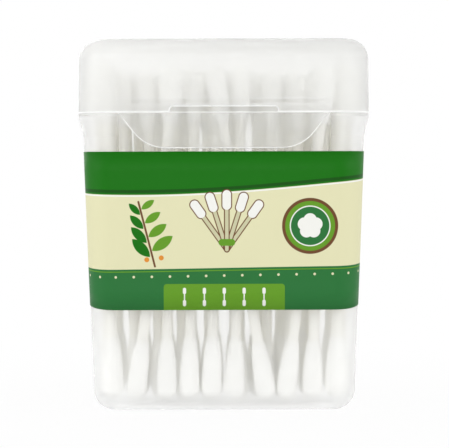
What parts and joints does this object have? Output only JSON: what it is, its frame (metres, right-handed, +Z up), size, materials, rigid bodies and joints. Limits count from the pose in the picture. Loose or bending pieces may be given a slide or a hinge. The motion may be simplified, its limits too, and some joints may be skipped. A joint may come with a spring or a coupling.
{
  "type": "cotton swab box",
  "caption": "Clear flip-top box of cotton swabs with a moulded hinge, a thumb notch, a wrap-round printed label and loose paper-stick swabs inside.",
  "frame": {"origin": "middle of the base, at the level the box stands on", "axes": "+Z up from base to lid, front wall with the thumb notch towards -Y, hinge towards +Y, +X to the right seen from the front"},
  "size_m": [0.065, 0.0354, 0.0829],
  "materials": {
    "box": "frosted translucent polypropylene",
    "lid": "frosted translucent polypropylene",
    "hinge": "thin flexed polypropylene",
    "label": "satin printed label in green and cream",
    "swab": "white wound cotton on a white paper stick"
  },
  "bodies": {
    "case": {"box": "box", "hinge_web": "hinge", "label": "label", "swab_01": "swab", "swab_02": "swab", "swab_03": "swab", "swab_04": "swab", "swab_05": "swab", "swab_06": "swab", "swab_07": "swab", "swab_08": "swab", "swab_09": "swab", "swab_10": "swab", "swab_11": "swab", "swab_12": "swab", "swab_13": "swab", "swab_14": "swab", "swab_15": "swab", "swab_16": "swab", "swab_17": "swab", "swab_18": "swab", "swab_19": "swab", "swab_20": "swab", "swab_21": "swab", "swab_22": "swab", "swab_23": "swab", "swab_24": "swab", "swab_25": "swab", "swab_26": "swab", "swab_27": "swab", "swab_28": "swab", "swab_29": "swab", "swab_30": "swab", "swab_31": "swab", "swab_32": "swab", "swab_33": "swab", "swab_34": "swab", "swab_35": "swab", "swab_36": "swab", "swab_37": "swab", "swab_38": "swab", "swab_39": "swab", "swab_40": "swab", "swab_41": "swab", "swab_42": "swab", "swab_43": "swab", "swab_44": "swab", "swab_45": "swab", "swab_46": "swab", "swab_47": "swab", "swab_48": "swab", "swab_49": "swab", "swab_50": "swab"},
    "lid": {"lid": "lid"}
  },
  "joints": [
    {"name": "lid_hinge", "type": "hinge", "parent": "case", "child": "lid", "pos_m": [0, 0.01774, 0.06648], "axis": [-1, 0, 0], "range_deg": [0, 175], "deforming": ["hinge_web"]}
  ]
}
